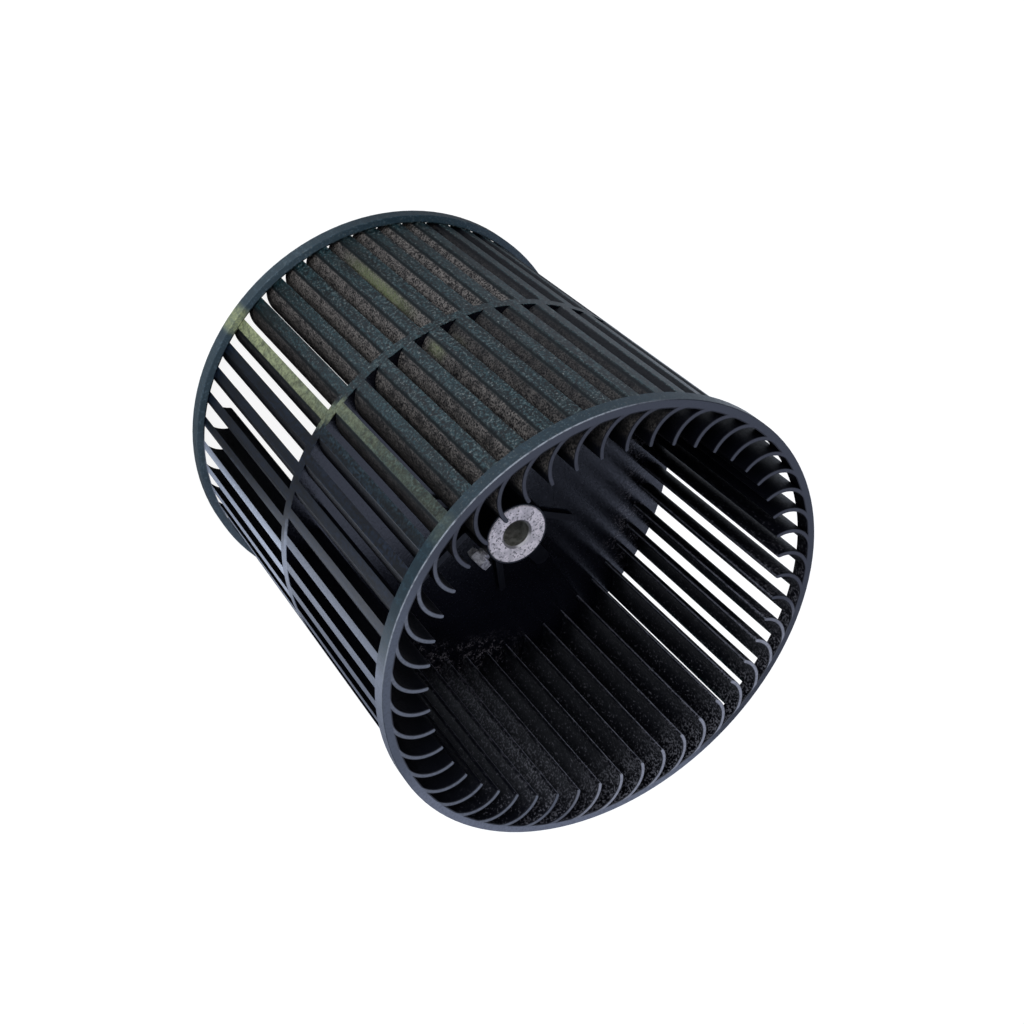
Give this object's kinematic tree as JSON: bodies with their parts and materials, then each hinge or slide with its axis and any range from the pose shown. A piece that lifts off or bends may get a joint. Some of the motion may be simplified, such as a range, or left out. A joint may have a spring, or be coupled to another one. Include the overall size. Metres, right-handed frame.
{
  "type": "blower wheel",
  "caption": "Double-inlet centrifugal blower wheel: a black moulded cage of forward-curved blades round a centre disc, with a metal hub bush and a hexagon-head set screw",
  "frame": {"origin": "centre of the end face of the lower end ring, on the axis, at the base that the wheel stands on", "axes": "+Z is the wheel's axis and shaft direction, towards the end from which the hub and set screw are seen; the set screw points along -X"},
  "size_m": [0.2032, 0.2032, 0.2148],
  "materials": {
    "moulding": "satin black moulded plastic, dusty in the slots",
    "bush_metal": "pale grey cast metal, faced, with dark pores",
    "screw_steel": "dull plated steel"
  },
  "bodies": {
    "root": {"wheel": "moulding", "hub_bush": "bush_metal", "set_screw": "screw_steel"}
  },
  "joints": []
}
